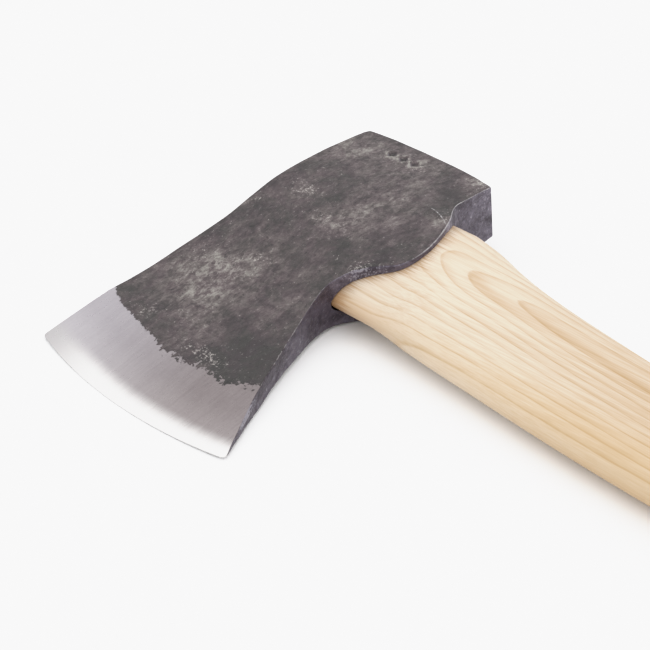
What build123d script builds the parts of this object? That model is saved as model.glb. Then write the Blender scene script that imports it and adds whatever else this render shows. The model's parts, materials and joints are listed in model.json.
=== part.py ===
from build123d import *

import math
import os

# A forged hatchet: steel head, ash handle, wooden wedge and steel ring wedge.
#
# Frame: the hatchet lies as it does on a table, on one cheek, its cutting edge and the handle's belly. +X
# runs along the handle from the head to the knob, +Y from the cutting edge to the poll, and +Z up. The
# origin is on the table, under the middle of the hatchet's outline.
#
# Two kinds of sketch plane carry every outline, and they lean with the hatchet. side_plane is its middle
# plane: x is measured down from the head's top and y from the poll's face, so the blade lies at negative y.
# On section_plane(x), the axes are that y and the height above the middle plane.

os.makedirs("parts", exist_ok=True)

# How the hatchet lies
HEAD_TOP = (-187.63, 70.04, 16.993)  # where side_plane has its origin
REST_ROLL = 6.84  # degrees that the cutting edge leans down
REST_PITCH = 0.29  # degrees that the knob's end rises

# Head, seen from the side
HEAD_DEPTH = 142.0  # poll face to cutting edge
TOE_RISE = 5.1  # how far the blade's toe sweeps up past the head's top
POLL_HEIGHT = 55.5
POLL_CROWN = 1.6  # how far the poll's corners fall back from its flat face
POLL_FLAT = (9.0, 45.0)
BLADE_TOP_Y = -62.0  # where the toe's sweep starts
NOTCH = (55.2, -19.2)  # where the lugs meet the poll
NECK = (51.6, -70.0)  # the narrowest place, between the lugs and the blade
LUG_TIP = (65.6, -44.0)
HEEL_X = 79.4
HEEL_ROUND = 1.4
EDGE_RADIUS = 165.0
EDGE_APEX_X = 41.0

# Head, its thickness either side of the middle plane
BLANK_HALF = 12.5  # the block that the cheeks are shaped from
POLL_HALF = 9.2
POLL_CHAMFER = 1.2
EYE_BULGE_HALF = 11.7
EDGE_HALF = 0.1
HONED_WIDTH = 5.0
HONED_HALF = 0.85
GROUND_WIDTH = 24.0
GROUND_HALF = 3.15

# Eye, the tapered hole that the handle is wedged into
EYE_FRONT = -69.3
EYE_BACK = -18.8
EYE_HALF = 9.9
EYE_EGG = 0.2  # how much the front end is narrower than the back
EYE_FULLNESS = 2.2  # 2 is an ellipse
EYE_MOUTH_X = 46.0
EYE_WAIST_X = 22.0
EYE_WAIST_INSET = 2.2
EYE_WAIST_HALF = 8.6
EYE_TOP_INSET = 0.9
EYE_TOP_HALF = 9.2
EYE_OVERRUN = 8.0  # how far the tool that cuts the eye passes the head at each end

# Handle
GRIP_EGG = 0.1
GRIP_FULLNESS = 2.35
KNOB_CUT = (375.7, -47.0)  # a point on the knob's slanted end
KNOB_SLANT = 0.22
KNOB_ROUND = 3.0
HANG_HOLE = (360.0, -46.5)
HANG_HOLE_RADIUS = 4.0
SECTION_POINTS = 24

# Wedges, driven into the handle's sawn tongue from the head's top
TONGUE_PROUD = 0.8  # the end grain stands this far out of the head
WEDGE_DEPTH = 38.0
WEDGE_TOP_HALF = 3.2
KERF_DEPTH = 47.0
KERF_HALF = 0.9
RING_RADIUS = 7.2
RING_TIP_RADIUS = 6.7
RING_WALL = 1.3
RING_TIP_WALL = 0.4
RING_LENGTH = 14.0

eye_middle_y = (EYE_FRONT + EYE_BACK) / 2
edge_centre_y = EDGE_RADIUS - HEAD_DEPTH
side_plane = Plane(origin=HEAD_TOP).rotated((REST_ROLL, -REST_PITCH, 0))
kerf_plane = Plane(origin=HEAD_TOP, x_dir=side_plane.x_dir, z_dir=-side_plane.y_dir)


def section_plane(x):
    """The plane across the handle at distance x below the head's top, with its axes along y and height."""
    return Plane(side_plane.from_local_coords((x, 0, 0)), x_dir=side_plane.y_dir, z_dir=side_plane.x_dir)


def edge_arc_point(x):
    """The point of the cutting edge's arc at x."""
    return x, edge_centre_y - math.sqrt(EDGE_RADIUS**2 - (x - EDGE_APEX_X) ** 2)


def oval(front, back, half, egg, fullness):
    """Points round an egg-shaped oval, whose front end is the narrower one. Fullness 2 makes an ellipse."""
    middle = (front + back) / 2
    reach = (back - front) / 2
    ring = []
    for i in range(SECTION_POINTS):
        turn = math.tau * i / SECTION_POINTS
        along = math.copysign(abs(math.cos(turn)) ** (2 / fullness), math.cos(turn))
        height = math.copysign(abs(math.sin(turn)) ** (2 / fullness), math.sin(turn))
        ring.append((middle + reach * along, height * (1 + egg * along)))
    tallest = max(height for _, height in ring)
    return [(y, height * half / tallest) for y, height in ring]


# The eye's shape, which cuts the head and leaves the handle's tongue: x, how far it is inset, half height
eye_rings = [
    (LUG_TIP[0] + EYE_OVERRUN, 0.0, EYE_HALF),
    (EYE_MOUTH_X, 0.0, EYE_HALF),
    (EYE_WAIST_X, EYE_WAIST_INSET, EYE_WAIST_HALF),
    (-EYE_OVERRUN, EYE_TOP_INSET, EYE_TOP_HALF),
]
with BuildPart() as eye_space:
    for x, inset, half in eye_rings:
        with BuildSketch(section_plane(x)):
            with BuildLine():
                Spline(*oval(EYE_FRONT + inset, EYE_BACK - inset, half, EYE_EGG, EYE_FULLNESS), periodic=True)
            make_face()
    loft(ruled=True)

# The head's outline, seen from the side
toe = edge_arc_point(-TOE_RISE)
heel = edge_arc_point(HEEL_X)
with BuildSketch(side_plane) as head_side:
    with BuildLine():
        top_corner = (0.4, -POLL_CROWN)
        bottom_corner = (POLL_HEIGHT, -POLL_CROWN)
        blade_top = (-0.6, BLADE_TOP_Y)
        Line(top_corner, blade_top)
        Spline(blade_top, (-3.0, -92), toe, tangents=[(0, -1), (0, -1)])
        ThreePointArc(toe, (EDGE_APEX_X, -HEAD_DEPTH), heel)
        Spline(heel, (69.2, -118.0), (60.2, -98.0), (54.2, -82.6), NECK)
        Spline(NECK, (55.6, -61.0), (61.4, -54.4), LUG_TIP, (61.6, -30.0), NOTCH)
        Line(NOTCH, bottom_corner)
        Spline(bottom_corner, (POLL_FLAT[1], 0), tangents=[(-1, 0.5), (-1, 0)])
        Line((POLL_FLAT[1], 0), (POLL_FLAT[0], 0))
        Spline((POLL_FLAT[0], 0), top_corner, tangents=[(-1, 0), (-1, -0.6)])
    make_face()
    fillet(head_side.vertices().group_by(Axis.Y)[0].sort_by(Axis.X)[-1], HEEL_ROUND)

# The head's cheeks, seen along the handle: poll, the bulge round the eye, neck and blade
with BuildSketch(section_plane(0)) as cheek_profile:
    with BuildLine():
        poll_chamfer_start = (1, POLL_HALF - POLL_CHAMFER - 1)
        poll_chamfer_end = (-POLL_CHAMFER, POLL_HALF)
        blade_cheek = (-110, 4.4)
        past_edge = (-HEAD_DEPTH - 2, 4.2)
        Line((1, 0), poll_chamfer_start)
        Line(poll_chamfer_start, poll_chamfer_end)
        Spline(
            poll_chamfer_end,
            (-16, 10.7),
            (-37, EYE_BULGE_HALF),
            (-53, 10.8),
            (-65, 9.2),
            (-76, 7.2),
            (-91, 5.2),
            blade_cheek,
        )
        Line(blade_cheek, past_edge)
        Line(past_edge, (past_edge[0], 0))
        Line((past_edge[0], 0), (1, 0))
    make_face()
    mirror(about=Plane.XZ)

# The blade's taper, then its ground and honed bevels, all turned about the centre of the edge's arc
edge_centre = side_plane.from_local_coords((EDGE_APEX_X, edge_centre_y, 0))
with BuildPart() as blade_taper:
    with BuildSketch(Plane(edge_centre, x_dir=-side_plane.y_dir, z_dir=-side_plane.x_dir)):
        with BuildLine():
            rim = (EDGE_RADIUS + 0.5, EDGE_HALF)
            ground = (EDGE_RADIUS - GROUND_WIDTH, GROUND_HALF)
            shoulder = (EDGE_RADIUS - 89, BLANK_HALF)
            Polyline((rim[0], 0), rim, (EDGE_RADIUS - HONED_WIDTH, HONED_HALF), ground)
            Spline(
                ground,
                (EDGE_RADIUS - 36, 3.45),
                (EDGE_RADIUS - 52, 5.05),
                (EDGE_RADIUS - 66, 7.05),
                (EDGE_RADIUS - 77, 9.5),
                shoulder,
            )
            Polyline(shoulder, (0, BLANK_HALF), (0, 0), (rim[0], 0))
        make_face()
    revolve(axis=Axis(edge_centre, side_plane.z_dir))
    mirror(about=side_plane)

with BuildPart() as axe_head:
    with BuildSketch(side_plane):
        add(head_side.sketch_local)
    extrude(amount=BLANK_HALF, both=True)
    with BuildSketch(section_plane(0)):
        add(cheek_profile.sketch_local)
    extrude(amount=HEAD_DEPTH, both=True, mode=Mode.INTERSECT)
    add(blade_taper.part, mode=Mode.INTERSECT)
    add(eye_space.part, mode=Mode.SUBTRACT)

# The two wedges. The wooden one opens the tongue's saw kerf, and the ring straddles them both
with BuildPart() as ring_wedge:
    with BuildSketch(side_plane):
        with BuildLine():
            Polyline(
                (-TONGUE_PROUD, eye_middle_y + RING_RADIUS - RING_WALL),
                (-TONGUE_PROUD, eye_middle_y + RING_RADIUS),
                (RING_LENGTH - TONGUE_PROUD, eye_middle_y + RING_TIP_RADIUS),
                (RING_LENGTH - TONGUE_PROUD, eye_middle_y + RING_TIP_RADIUS - RING_TIP_WALL),
                close=True,
            )
        make_face()
    revolve(axis=Axis(side_plane.from_local_coords((0, eye_middle_y, 0)), side_plane.x_dir))

with BuildPart() as wood_wedge:
    with BuildSketch(kerf_plane):
        with BuildLine():
            Polyline(
                (-TONGUE_PROUD, WEDGE_TOP_HALF),
                (WEDGE_DEPTH, KERF_HALF),
                (WEDGE_DEPTH, -KERF_HALF),
                (-TONGUE_PROUD, -WEDGE_TOP_HALF),
                close=True,
            )
        make_face()
    extrude(amount=HEAD_DEPTH)
    add(eye_space.part, mode=Mode.INTERSECT)
    add(ring_wedge.part, mode=Mode.SUBTRACT)

# The handle: its tongue has the eye's shape, and below the lugs it swells and runs out to the knob.
# Each section is x, front, back, half thickness
grip_sections = [
    (76, -69.9, -21.4, 10.1),
    (88, -71.0, -25.4, 10.2),
    (106, -72.4, -30.0, 10.3),
    (128, -74.1, -33.6, 10.4),
    (154, -75.6, -37.2, 10.6),
    (188, -76.4, -41.0, 10.9),
    (228, -75.0, -42.8, 11.1),
    (268, -70.8, -40.2, 11.2),
    (304, -66.0, -34.6, 11.3),
    (332, -64.2, -30.0, 11.7),
    (352, -65.6, -27.2, 12.2),
    (370, -69.4, -25.6, 12.4),
    (400, -78.0, -24.0, 12.3),
]
with BuildPart() as handle:
    with BuildSketch(section_plane(LUG_TIP[0])):
        with BuildLine():
            Spline(*oval(EYE_FRONT, EYE_BACK, EYE_HALF, EYE_EGG, EYE_FULLNESS), periodic=True)
        make_face()
    for x, front, back, half in grip_sections:
        with BuildSketch(section_plane(x)):
            with BuildLine():
                Spline(*oval(front, back, half, GRIP_EGG, GRIP_FULLNESS), periodic=True)
            make_face()
    loft()
    knob_end = Plane(
        side_plane.from_local_coords((*KNOB_CUT, 0)), z_dir=side_plane.x_dir + side_plane.y_dir * KNOB_SLANT
    )
    split(bisect_by=knob_end, keep=Keep.BOTTOM)
    fillet(handle.faces().sort_by(Axis.X)[-1].edges(), KNOB_ROUND)
    with BuildSketch(side_plane):
        with Locations(HANG_HOLE):
            Circle(HANG_HOLE_RADIUS)
    extrude(amount=2 * BLANK_HALF, both=True, mode=Mode.SUBTRACT)
    add(split(eye_space.part, bisect_by=section_plane(LUG_TIP[0]), keep=Keep.BOTTOM, mode=Mode.PRIVATE))
    split(bisect_by=section_plane(-TONGUE_PROUD), keep=Keep.TOP)
    with BuildSketch(kerf_plane):
        with BuildLine():
            Polyline(
                (-TONGUE_PROUD, WEDGE_TOP_HALF),
                (WEDGE_DEPTH, KERF_HALF),
                (KERF_DEPTH, KERF_HALF),
                (KERF_DEPTH, -KERF_HALF),
                (WEDGE_DEPTH, -KERF_HALF),
                (-TONGUE_PROUD, -WEDGE_TOP_HALF),
                close=True,
            )
        make_face()
    extrude(amount=HEAD_DEPTH, mode=Mode.SUBTRACT)
    add(ring_wedge.part, mode=Mode.SUBTRACT)

pieces = {"axe_head": axe_head, "handle": handle, "wood_wedge": wood_wedge, "ring_wedge": ring_wedge}
for label, piece in pieces.items():
    piece.part.label = label
    export_step(piece.part, f"parts/{label}.step")
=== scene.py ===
import json
import math

import bmesh
import bpy
import numpy as np
from mathutils import Matrix, Vector


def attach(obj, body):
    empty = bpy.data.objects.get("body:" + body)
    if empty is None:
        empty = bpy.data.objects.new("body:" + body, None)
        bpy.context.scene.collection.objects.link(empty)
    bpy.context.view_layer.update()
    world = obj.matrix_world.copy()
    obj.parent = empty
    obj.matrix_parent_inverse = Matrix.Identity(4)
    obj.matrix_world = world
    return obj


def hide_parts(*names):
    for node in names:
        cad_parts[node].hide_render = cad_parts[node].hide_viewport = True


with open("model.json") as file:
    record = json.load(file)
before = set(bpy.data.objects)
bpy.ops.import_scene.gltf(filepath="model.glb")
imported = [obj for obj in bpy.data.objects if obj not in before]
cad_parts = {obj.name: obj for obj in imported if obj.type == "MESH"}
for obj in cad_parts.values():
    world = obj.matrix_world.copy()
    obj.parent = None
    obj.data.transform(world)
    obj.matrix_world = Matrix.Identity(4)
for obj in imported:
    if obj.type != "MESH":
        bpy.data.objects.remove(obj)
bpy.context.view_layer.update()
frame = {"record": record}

# The looks of a forged hatchet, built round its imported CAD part.
#
# Shapes are worked out in millimetres in the hatchet's own directions: x down from the head's top, y back
# from the poll's face, so that the blade is at negative y, and z out of the middle plane. to_row() turns
# them into the metres of the row frame, where the hatchet leans a little, as it lies on a table.

# Head, seen from the side
HEAD_DEPTH = 142.0
TOP_LINE = [
    (0.4, 0), (-0.5, -20), (-0.6, -45), (-1.0, -63), (-2.1, -78), (-2.9, -91), (-4.6, -117), (-5.1, -136),
]
POLL_UNDER = [(55.5, 0), (55.2, -17.8)]
LUG_UNDER = [
    (55.2, -17.8), (55.8, -19.8), (58.9, -24.7), (63.4, -34.0), (65.4, -44.0), (63.4, -52.6), (58.1, -57.8),
    (53.6, -62.6),
]
NECK_UNDER = [
    (53.6, -62.6), (51.5, -68.8), (51.8, -75.0), (54.2, -82.6), (60.0, -97.6), (69.1, -118.0),
    (78.9, -137.3),
]
EDGE_RADIUS = 165.0
EDGE_APEX_X = 41.0
EDGE_CENTRE_Y = EDGE_RADIUS - HEAD_DEPTH
HEEL_ROUND = 1.9  # how far from its corner the heel starts to round
TOE_ROUND = 1.1
POLL_HEIGHT = 55.5
POLL_FLAT = (9.0, 45.0)
CROWN_FROM = (20.0, 32.0)  # the worn poll falls back either side of these x
POLL_CROWN = (1.5, 2.3)  # how far it has fallen back at its top and bottom
POLL_EDGE = 0.75  # radius round the poll's face
POLL_CORNER = 1.3  # how far the poll's top corner is worn down

# Head: half its thickness along y, then along the distance in from the cutting edge
CHEEK = [
    (0, 9.2), (-16, 10.7), (-37, 11.7), (-53, 10.8), (-65, 9.2), (-76, 7.2), (-91, 5.2), (-110, 4.4),
    (-145, 4.2),
]
TAPER = [(0, 0.12), (5, 0.85), (24, 3.15)]
CHEEK_TAPER = [(24, 3.15), (36, 3.45), (52, 5.05), (66, 7.05), (77, 9.5), (89, 12.5)]
CHEEK_BLEND = 0.6  # how softly the cheeks run into the taper
NO_TAPER = 99.0  # behind the taper only the cheeks set the thickness
SKIN = 0.06  # how far the forged skin lies inside the CAD surface, so that its waves stay within it
# Bevel: how far in from the cutting edge it reaches along x, then the honed strip on it, where a painted
# highlight lies
GROUND_EDGE = [(-5, 26.3), (9, 25.0), (21, 24.6), (34, 22.6), (46, 24.2), (57, 23.8), (67, 27.0)]
HONED = [(-5, 5.9), (20, 5.8), (35, 5.2), (50, 4.9), (65, 4.5), (80, 4.2)]
BEVEL_STEP = 0.10  # how far the grinding has cut below the forged skin

# Eye and handle
EYE_FRONT = -69.3
EYE_BACK = -18.8
EYE_EGG = 0.25
EYE_FULLNESS = 2.0
EYE_RINGS = [(46.0, 0.0, 9.9), (22.0, 2.2, 8.6), (0.0, 1.1, 9.0), (-8.0, 0.9, 9.2)]  # x, inset, half
EYE_CLEARANCE = 0.15
EYE_FRONT_GAP = 0.9  # the dark gap in front of the tongue
GRIP_EGG = 0.1
GRIP_FULLNESS = 2.35
GRIP = [  # x, front, back, half the thickness
    (65.6, -69.3, -18.8, 9.9),
    (76, -69.9, -21.4, 10.1),
    (88, -71.0, -25.4, 10.2),
    (106, -72.4, -30.0, 10.3),
    (128, -74.1, -33.6, 10.4),
    (154, -75.6, -37.2, 10.6),
    (188, -76.4, -41.0, 10.9),
    (228, -75.0, -42.8, 11.1),
    (268, -70.8, -40.2, 11.2),
    (304, -66.0, -34.6, 11.3),
    (332, -64.2, -30.0, 11.7),
    (352, -65.6, -27.2, 12.2),
    (370, -69.4, -25.6, 12.4),
    (400, -78.0, -24.0, 12.3),
]
KNOB_CUT = (375.65, -47.0)
KNOB_SLANT = 0.22
KNOB_SLANT_FROM = 300.0  # the rings of vertices start to lean there
KNOB_ROUND = 3.0
HANG_HOLE = (360.0, -46.5)
HANG_HOLE_RADIUS = 4.0
HANG_HOLE_EASED = 11.5  # beyond this z its edges are eased

# Tongue and wedges
TONGUE_PROUD = 0.8
WEDGE_DEPTH = 38.0
WEDGE_TOP_HALF = 3.2
KERF_DEPTH = 47.0
KERF_HALF = 0.9
RING_MIDDLE_Y = (EYE_FRONT + EYE_BACK) / 2
RING_RADIUS = 7.2
RING_TIP_RADIUS = 6.7
RING_WALL = 1.3
RING_TIP_WALL = 0.4
RING_LENGTH = 14.0
FIT_GAP = 0.06  # the fine dark line round each wedge
CUT_FROM = -3.0  # the tongue's cutters start above its end
KERF_FRONT = -90.0  # and the kerf's runs past it to the front and the back
KERF_BACK = 5.0

# A short raised crease runs from the notch up the upper cheek. The hollows behind it are soft patches:
# x, y, reach along each, depth
CREASE_LINE = [(50.0, -25.2), (54.2, -26.0), (57.4, -27.4), (61.2, -29.6)]
CREASE_HOLLOWS = [(53.6, -21.8, 3.4, 3.0, 0.6), (50.0, -15.0, 6.0, 5.0, 0.25)]

# Three plain diamond-shaped punch marks near the poll
PUNCH_X = (18.0, 23.0, 28.0)
PUNCH_Y = -8.5
PUNCH_RIM = 2.7  # from a dimple's middle to its raised rim
PUNCH_FLOOR = 1.0  # the hollow is deepest up to here
PUNCH_TOP = 2.2

# Growth rings of the ash. The pith runs under the handle's upper face, and nearer to it towards the knob
RING_WIDTH = 2.35
PITH_Y = [
    (-2, -35.0), (64, -37.5), (72, -39.5), (80, -41.6), (100, -43.5), (115, -45.4), (145, -48.9),
    (400, -55.0),
]
UPPER_FACE = 10.2  # the handle's half thickness where the rings were laid out
PITH_DEPTH = 2.5
PITH_DIP = 6.8  # how much deeper it lies where the tips of the cut rings show
PITH_DIP_X = 69.5
PITH_DIP_REACH = 28.0
PITH_LEVEL_X = 66.0  # inside the head it dips no further
TIP_RING = 9.3  # radius of the ring whose tip shows just below the lugs
FRONT_RING = 26.5  # radius of the ring that the handle's front edge runs along
DARK_STREAK = [(84, -42.5), (100, -47.2), (115, -47.7), (130, -48.7), (145, -51.5), (175, -54.0)]

# Where the upper cheek is lighter, or darker if negative: rubbed and dark scale, with painted light near
# the poll and painted shade near the bevel. x, y, reach along each, amount
RUBBED_AND_PAINTED_LIGHT = [
    (19, -89, 14, 13, 1.05),
    (6, -88, 7, 6, 0.25),
    (24, -77, 5, 5, 0.5),
    (22, -94, 5, 4, 0.45),
    (16, -80, 5, 5, 0.4),
    (22, -111, 5, 4, -0.6),
    (27, -102, 8, 5, 0.4),
    (33, -111, 6, 6, 0.55),
    (15, -43, 6, 6, 0.65),
    (32, -50, 9, 5, 0.8),
    (38, -42, 7, 8, 0.8),
    (28, -47, 4, 3, -0.4),
    (10, -47, 4, 4, -0.35),
    (32, -18, 11, 14, 0.65),
    (32, -6, 5, 4, 0.7),
    (20, -38, 5, 4, -0.5),
    (42, -58, 8, 5, -0.65),
    (6, -13, 10, 9, 0.8),
    (22, -9, 15, 5, 0.35),
    (44, -33, 12, 7, 0.35),
    (50, -15, 6, 5, -0.5),
    (51, -4, 5, 4, 0.9),
    (54, -57, 7, 3, 0.5),
    (38, -105, 9, 5, 0.75),
    (47, -87, 5, 5, 0.4),
    (56, -101, 6, 7, -0.65),
    (57, -78, 3, 9, -0.4),
    (58, -62, 3, 7, -1.0),
    (64, -111, 5, 5, -0.45),
    (3, -101, 4, 8, -0.25),
    (50, -107, 17, 9, -1.15),
    (47, -103, 8, 4, -0.4),
    (-2, -67, 6, 8, -0.3),
    (60, -29, 3, 4, 0.8),
]
# Where it is speckled with bright steel
SPECKLED = [
    (13, -42, 6, 5, 1.0),
    (31, -50, 9, 4, 0.8),
    (24, -73, 4, 3, 0.9),
    (19, -84, 12, 9, 0.4),
    (22, -106, 8, 4, 0.4),
    (4, -80, 5, 12, 0.4),
    (60, -57, 3, 4, 0.8),
    (55, -61, 3, 4, 1.3),
    (71, -123, 4, 6, 2.6),
    (52, -4, 5, 5, 1.0),
    (1, -55, 6, 3, 0.8),
    (12, -110, 5, 3, 0.7),
    (43, -113, 10, 3, 1.2),
    (59, -27, 4, 4, 0.9),
    (24, -9, 12, 4, 0.6),
]

# How finely the meshes are made
HEAD_COLUMNS = 118  # across a cheek
HEAD_ARRIS = 6  # round each arris
HEAD_WALL = 23  # down a wall
HANDLE_COUNT = 112  # points round the handle
LATTICE = 32  # random values along each side of the block that cloud() repeats

# ---- the hatchet's own directions, from the record's mounts ----

mounts = {mount["name"]: mount for mount in frame["record"]["mounts"]}
along_y = np.array(mounts["poll_face"]["axis"])
along_z = np.array(mounts["hang_hole"]["axis"])
DIRECTIONS = np.array([np.cross(along_y, along_z), along_y, along_z])
HEAD_TOP = np.array(mounts["poll_face"]["pos_m"]) * 1000 - sum(POLL_FLAT) / 2 * DIRECTIONS[0]


def to_row(points):
    """Points in the hatchet's own millimetres, as metres in the row frame."""
    return (np.asarray(points, float) @ DIRECTIONS + HEAD_TOP) / 1000


def to_own(points):
    """Points in the row frame's metres, as the hatchet's own millimetres."""
    return (np.asarray(points, float) * 1000 - HEAD_TOP) @ DIRECTIONS.T


# ---- curves and random relief ----


def smooth_line(points, samples=400):
    """Points along the cubic spline through the given ones."""
    knots = np.array(points, float)
    at = np.r_[0, np.cumsum(np.linalg.norm(np.diff(knots, axis=0), axis=1))]
    gap = np.diff(at)
    slope = np.diff(knots, axis=0) / gap[:, None]
    size = len(knots)
    matrix = np.eye(size)
    right = np.zeros_like(knots)
    for i in range(1, size - 1):
        matrix[i, i - 1 : i + 2] = gap[i - 1], 2 * (gap[i - 1] + gap[i]), gap[i]
        right[i] = 6 * (slope[i] - slope[i - 1])
    bend = np.linalg.solve(matrix, right)
    where = np.linspace(0, at[-1], samples)
    i = np.clip(np.searchsorted(at, where, side="right") - 1, 0, size - 2)
    u = (where - at[i])[:, None]
    h = gap[i][:, None]
    first = slope[i] - h * (2 * bend[i] + bend[i + 1]) / 6
    return knots[i] + u * first + u**2 * bend[i] / 2 + u**3 * (bend[i + 1] - bend[i]) / (6 * h)


def curve_value(points):
    """A function that reads a smooth curve through (place, value) points, in any order of place."""
    line = smooth_line(points)
    line = line[np.argsort(line[:, 0])]
    return lambda place: np.interp(place, line[:, 0], line[:, 1])


def line_distance(points, line):
    """How far each point lies from a line of (x, y) points, seen from the side."""
    start = line[:-1]
    step = np.diff(line, axis=0)
    length = np.sum(step**2, axis=1)
    gaps = []
    for part in np.array_split(points[:, :2], len(points) // 2000 + 1):
        away = part[:, None] - start
        share = np.clip(np.sum(away * step, axis=2) / length, 0, 1)
        gaps.append(np.min(np.linalg.norm(away - share[..., None] * step, axis=2), axis=1))
    return np.concatenate(gaps)


def patches(points, places):
    """The sum of soft patches, each with its x, y, reach along each, and amount."""
    total = np.zeros(len(points))
    for x, y, reach_x, reach_y, amount in places:
        away = ((points[:, 0] - x) / reach_x) ** 2 + ((points[:, 1] - y) / reach_y) ** 2
        total += amount * np.exp(-away)
    return total


def rise(low, high, value):
    """0 below low, 1 above high, and smooth between them."""
    part = np.clip((value - low) / (high - low), 0, 1)
    return part * part * (3 - 2 * part)


def cloud(points, size, seed, octaves=1):
    """Smooth random values, from about -1 to 1, that change over size millimetres."""
    total = np.zeros(len(points))
    for octave in range(octaves):
        lattice = np.random.default_rng(seed + octave).uniform(-1, 1, (LATTICE,) * 3)
        at = points / size * 2**octave
        low = np.floor(at).astype(int)
        part = at - low
        part = part * part * (3 - 2 * part)
        for corner in np.ndindex(2, 2, 2):
            weight = np.prod(np.where(corner, part, 1 - part), axis=1)
            index = (low + corner) % LATTICE
            total += weight * lattice[index[:, 0], index[:, 1], index[:, 2]] / 2**octave
    return total


# ---- mesh building ----


def into_scene(name, data):
    """A new object in the scene, with that mesh, light or camera as its data."""
    item = bpy.data.objects.new(name, data)
    bpy.context.scene.collection.objects.link(item)
    return item


def facing_out(piece):
    """Turns every face outwards."""
    work = bmesh.new()
    work.from_mesh(piece.data)
    bmesh.ops.recalc_face_normals(work, faces=work.faces)
    work.to_mesh(piece.data)
    work.free()


def make_solid(name, points, faces):
    """A closed mesh object from points in the hatchet's own millimetres."""
    mesh = bpy.data.meshes.new(name)
    mesh.from_pydata(to_row(points).tolist(), [], faces)
    mesh.validate()
    piece = into_scene(name, mesh)
    facing_out(piece)
    return piece


def ring_faces(rows, columns):
    """The quads of a tube whose rows of vertices each hold one closed ring."""
    faces = []
    for row in range(rows - 1):
        here = row * columns
        there = here + columns
        for column in range(columns):
            after = (column + 1) % columns
            faces.append((here + column, there + column, there + after, here + after))
    return faces


def closed_tube(name, rows):
    """A closed solid through rows of vertices, each of them one ring, with a flat face at each end."""
    count = len(rows[0])
    points = np.vstack(rows)
    faces = ring_faces(len(rows), count)
    faces.append(tuple(range(count)))
    faces.append(tuple(range(len(points) - 1, len(points) - count - 1, -1)))
    return make_solid(name, points, faces)


def tube(name, stations, section, order=(0, 1, 2)):
    """A closed solid with flat ends through section(station) rings. order says which of station and the
    ring's two columns is x, y and z."""
    rows = []
    for station in stations:
        ring = section(station)
        rows.append(np.column_stack([np.full(len(ring), station), ring])[:, order])
    return closed_tube(name, rows)


def cap_grid(ring, base, side, wall, start, flip):
    """Closes a ring that has two long sides of the same number of points, side, and two walls.
    Returns the new points and the quads."""
    steps = wall + 1  # strips between the two long sides
    upper = ring[:side]
    lower = ring[side + wall : 2 * side + wall][::-1]
    index = np.zeros((side, steps + 1), int)
    index[:, 0] = base + np.arange(side)
    index[:, steps] = base + side + wall + np.arange(side)[::-1]
    index[side - 1, 1:steps] = base + side + np.arange(wall)
    index[0, 1:steps] = base + 2 * side + wall + np.arange(wall)[::-1]
    inner = side - 2
    share = (np.arange(1, steps) / steps)[None, :, None]
    middle = upper[1:-1, None] * (1 - share) + lower[1:-1, None] * share
    index[1:-1, 1:steps] = start + np.arange(inner * wall).reshape(inner, wall)
    faces = []
    for i in range(side - 1):
        for j in range(steps):
            quad = (index[i, j], index[i + 1, j], index[i + 1, j + 1], index[i, j + 1])
            faces.append(tuple(int(v) for v in (quad[::-1] if flip else quad)))
    return middle.reshape(-1, 3), faces


def read_points(mesh):
    """A mesh's vertices, as rows of three."""
    values = np.zeros(len(mesh.vertices) * 3)
    mesh.vertices.foreach_get("co", values)
    return values.reshape(-1, 3)


def read_normals(mesh):
    """A mesh's vertex normals in the hatchet's own directions."""
    values = np.zeros(len(mesh.vertices) * 3, np.float32)
    mesh.vertex_normals.foreach_get("vector", values)
    return values.reshape(-1, 3) @ DIRECTIONS.T


def displace(piece, relief):
    """Moves each vertex out along its normal by relief(points, normals), in millimetres."""
    mesh = piece.data
    points = to_own(read_points(mesh))
    normals = read_normals(mesh)
    moved = points + normals * relief(points, normals)[:, None]
    mesh.vertices.foreach_set("co", to_row(moved).ravel())
    mesh.update()


def store(piece, name, values):
    """Keeps one number, or three, for each vertex, for the material to read."""
    kind = "FLOAT" if values.ndim == 1 else "FLOAT_VECTOR"
    attribute = piece.data.attributes.new(name, kind, "POINT")
    attribute.data.foreach_set("value" if values.ndim == 1 else "vector", values.astype(np.float32).ravel())


def cut(piece, tool):
    """Cuts piece with tool, which is then removed."""
    change = piece.modifiers.new("cut", "BOOLEAN")
    change.object = tool
    change.operation = "DIFFERENCE"
    change.solver = "EXACT"
    bpy.context.view_layer.update()
    result = bpy.data.meshes.new_from_object(piece.evaluated_get(bpy.context.evaluated_depsgraph_get()))
    piece.modifiers.clear()
    piece.data = result
    bpy.data.objects.remove(tool)


def shade(piece, angle):
    """Smooth shading, broken where two faces meet at more than angle degrees."""
    mesh = piece.data
    mesh.shade_smooth()
    mesh.set_sharp_from_angle(angle=math.radians(angle))


# ---- head ----


def edge_arc_y(x):
    """The cutting edge's y at x."""
    return EDGE_CENTRE_Y - np.sqrt(EDGE_RADIUS**2 - (x - EDGE_APEX_X) ** 2)


def edge_distance(x, y):
    """How far a point lies in from the cutting edge."""
    return EDGE_RADIUS - np.hypot(x - EDGE_APEX_X, y - EDGE_CENTRE_Y)


def rounded_end(line, reach):
    """The outline with its last corner, on the cutting edge, rounded over reach millimetres."""
    corner_x = line[-1, 0]
    corner = np.array([corner_x, edge_arc_y(corner_x)])
    away = line[np.linalg.norm(line - corner, axis=1) > reach]
    start = away[-1]
    end_x = corner_x + reach * (1 if corner_x < EDGE_APEX_X else -1)
    end = np.array([end_x, edge_arc_y(end_x)])
    t = np.linspace(0, 1, 12)[1:, None]
    return np.vstack([away, (1 - t) ** 2 * start + 2 * t * (1 - t) * corner + t**2 * end])


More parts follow.
